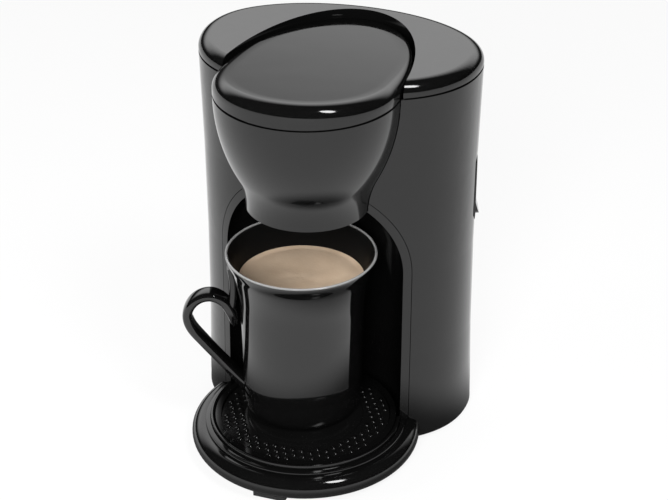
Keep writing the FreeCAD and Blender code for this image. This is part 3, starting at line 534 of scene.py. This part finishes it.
def strap(name, path):
    """A strap along (distance, height, half thickness, half width) points, closed at both ends."""
    line = smooth_line(path, STRAP_STEPS)
    middles = []
    rings = []
    for index, (reach, height, thick, wide) in enumerate(line):
        before = line[max(index - 1, 0)]
        after = line[min(index + 1, len(line) - 1)]
        along = Vector((after[0] - before[0], after[1] - before[1])).normalized()
        across = outwards * -along.y + Vector((0, 0, along.x))
        middle = MUG_AXIS + outwards * reach + Vector((0, 0, height))
        middles.append(tuple(middle))
        rings.append([tuple(middle + across * thick * squared(math.cos(turn))
                            + sideways * wide * squared(math.sin(turn)))
                      for turn in turns(STRAP_SPOKES)])
    piece = ring_mesh(name, middles[0], rings, middles[-1], black_glaze, crease=60)
    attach(piece, "mug")


strap("mug_handle", [
    (0.0347, 0.0655, 0.0008, 0.002), (0.0352, 0.0680, 0.0019, 0.0034), (0.0364, 0.0735, 0.0026, 0.0046),
    (0.0400, 0.0800, 0.0026, 0.0050), (0.0455, 0.0834, 0.0026, 0.0052), (0.0515, 0.0828, 0.0026, 0.0052),
    (0.0566, 0.0787, 0.0026, 0.0052), (0.0592, 0.0720, 0.0026, 0.0052), (0.0574, 0.0645, 0.0026, 0.0052),
    (0.0510, 0.0556, 0.0025, 0.0050), (0.0430, 0.0455, 0.0025, 0.0048), (0.0355, 0.0362, 0.0028, 0.0050),
    (0.0303, 0.0305, 0.0032, 0.0054)])
strap("mug_stem", [
    (0.0366, 0.0715, 0.0014, 0.0024), (0.0362, 0.0770, 0.0021, 0.0034), (0.0352, 0.0850, 0.0021, 0.0034),
    (0.0352, 0.0930, 0.0020, 0.0034), (0.0366, 0.1000, 0.0016, 0.0034)])

# Coffee's foam: two close browns with fine bubbles
BUBBLE_SCALE = 700
foam = new_material("coffee_foam", color=(0.66, 0.5, 0.35), roughness=0.4)
bubbles = foam.node_tree.nodes.new("ShaderNodeTexVoronoi")
bubbles.inputs["Scale"].default_value = BUBBLE_SCALE
foam.node_tree.links.new(coordinates(foam.node_tree, "Object"), bubbles.inputs["Vector"])
two_tone(foam, noise(foam, scale=110, detail=6), (0.60, 0.44, 0.30), (0.74, 0.58, 0.43))
bump(foam, bubbles.outputs["Distance"], depth=0.0001, strength=0.4)

# Coffee in the mug: a disc with low swells that climbs a little up the glaze
COFFEE_DEPTH = 0.002
COFFEE_GAP = 0.0001
COFFEE_TAPER = 0.0012
COFFEE_RINGS = 26
COFFEE_SPOKES = 96
MENISCUS = 0.0006
MENISCUS_FROM = 0.93
SWELL_HEIGHT = 0.0001
SWELL_FULL = 0.4
SWELL_FADE = 6
# Each swell's waves round the disc, radians per metre outwards, and phase
SWELLS = [(3, 90, 0), (5, -210, 1)]
coffee_radius = COFFEE_RADIUS - COFFEE_GAP


def swell(radius, turn):
    """Height of the swells at a place on the coffee."""
    return SWELL_HEIGHT * sum(math.sin(waves * turn + outward * radius + phase)
                              for waves, outward, phase in SWELLS)


coffee_rings = []
for ring in range(1, COFFEE_RINGS + 1):
    share = ring / COFFEE_RINGS
    level = COFFEE_LEVEL + MENISCUS * smooth(MENISCUS_FROM, 1.0, share)
    strength = smooth(0.0, SWELL_FULL, share) * (1 - share ** SWELL_FADE)
    radius = coffee_radius * share
    level_ring = circle(on_axis(level), radius, COFFEE_SPOKES)
    coffee_rings.append([(x, y, z + strength * swell(radius, turn))
                         for (x, y, z), turn in zip(level_ring, turns(COFFEE_SPOKES))])
coffee_bottom = on_axis(COFFEE_LEVEL - COFFEE_DEPTH)
coffee_rings.append(circle(coffee_bottom, coffee_radius - COFFEE_TAPER, COFFEE_SPOKES))
coffee = ring_mesh("coffee", on_axis(COFFEE_LEVEL), coffee_rings, coffee_bottom, foam, crease=50)
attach(coffee, "mug")

# Floor: white to the camera; in reflections it glows white, with painted shade under the object
FLOOR_HALF = 6.0
FLOOR_GLOW = 0.85
# Painted shade in the floor's reflections: dark inside the first distance from the middle, full glow
# beyond the second
PAINTED_SHADE_INNER = 0.075
PAINTED_SHADE_OUTER = 0.12
floor_white = new_material("floor_white", color=grey(0.9), roughness=0.9)
floor = new_piece("floor", [(-FLOOR_HALF, -FLOOR_HALF, 0), (FLOOR_HALF, -FLOOR_HALF, 0),
                            (FLOOR_HALF, FLOOR_HALF, 0), (-FLOOR_HALF, FLOOR_HALF, 0)],
                  [(0, 1, 2, 3)], floor_white)
tree = floor_white.node_tree
path = tree.nodes.new("ShaderNodeLightPath")
to_camera = path.outputs["Is Camera Ray"]
seen = combine(tree, "MAXIMUM", to_camera, path.outputs["Is Glossy Ray"])
distance = tree.nodes.new("ShaderNodeVectorMath")
distance.operation = "LENGTH"
tree.links.new(coordinates(tree, "Object"), distance.inputs[0])
# Painted shade: the floor's glow, as reflections see it, fades to dark near the object
painted_contact_shade = ramp(tree, distance.outputs["Value"], PAINTED_SHADE_INNER, PAINTED_SHADE_OUTER, curve="SMOOTHSTEP")
glow = tree.nodes.new("ShaderNodeEmission")
tree.links.new(combine(tree, "MAXIMUM", painted_contact_shade, to_camera), glow.inputs["Strength"])
blend = tree.nodes.new("ShaderNodeMixShader")
tree.links.new(ramp(tree, seen, 0.0, 1.0, high=FLOOR_GLOW), blend.inputs["Fac"])
tree.links.new(tree.nodes["Principled BSDF"].outputs["BSDF"], blend.inputs[1])
tree.links.new(glow.outputs["Emission"], blend.inputs[2])
tree.links.new(blend.outputs["Shader"], tree.nodes["Material Output"].inputs["Surface"])

# Studio: a pale tent high behind the object, and a dark room elsewhere
TENT_GLOW = 1.7
ROOM_GLOW = 0.02
HORIZON_SHARE = 0.02
# The tent's edges, as a direction's parts towards the camera and upwards
TENT_FULL = -0.8
TENT_END = -0.4
RISE_FROM = 0.16
RISE_TO = 0.42
world = bpy.data.worlds.new("studio")
scene.world = world
world.use_nodes = True
tree = world.node_tree
direction = coordinates(tree, "Generated")
facing = tree.nodes.new("ShaderNodeVectorMath")
facing.operation = "DOT_PRODUCT"
facing.inputs[1].default_value = Vector((CAMERA_PLACE.x, CAMERA_PLACE.y, 0)).normalized()
tree.links.new(direction, facing.inputs[0])
behind = ramp(tree, facing.outputs["Value"], TENT_FULL, TENT_END, TENT_GLOW, ROOM_GLOW, "SMOOTHSTEP")
rise = ramp(tree, upwards(tree, direction), RISE_FROM, RISE_TO, HORIZON_SHARE, 1.0, "SMOOTHSTEP")
background = tree.nodes["Background"]
background.inputs["Color"].default_value = (*grey(1), 1)
tree.links.new(combine(tree, "MULTIPLY", behind, rise), background.inputs["Strength"])

# Lamps
LAMP_TARGET = Vector((0, 0, 0.1))


def soft_box(name, place, size, power, mirrored=False):
    """An oval soft lamp that looks at the object: mirrored says whether glossy surfaces show it."""
    data = bpy.data.lights.new(name, "AREA")
    data.shape = "ELLIPSE"
    data.size, data.size_y = size
    data.energy = power
    lamp = bpy.data.objects.new(name, data)
    lamp.location = place
    lamp.rotation_euler = (LAMP_TARGET - lamp.location).to_track_quat("-Z", "Y").to_euler()
    lamp.visible_glossy = mirrored
    scene.collection.objects.link(lamp)


soft_box("key_box", place=(0.77, -0.5, 1.41), size=(0.35, 0.6), power=10, mirrored=True)
soft_box("front_box", place=(0.3, -1.5, 0.9), size=(0.8, 0.8), power=36)
soft_box("left_box", place=(-1.2, -0.7, 0.5), size=(0.6, 1.2), power=8)
soft_box("top_box", place=(0, 0.3, 1.5), size=(1.4, 1.0), power=3)
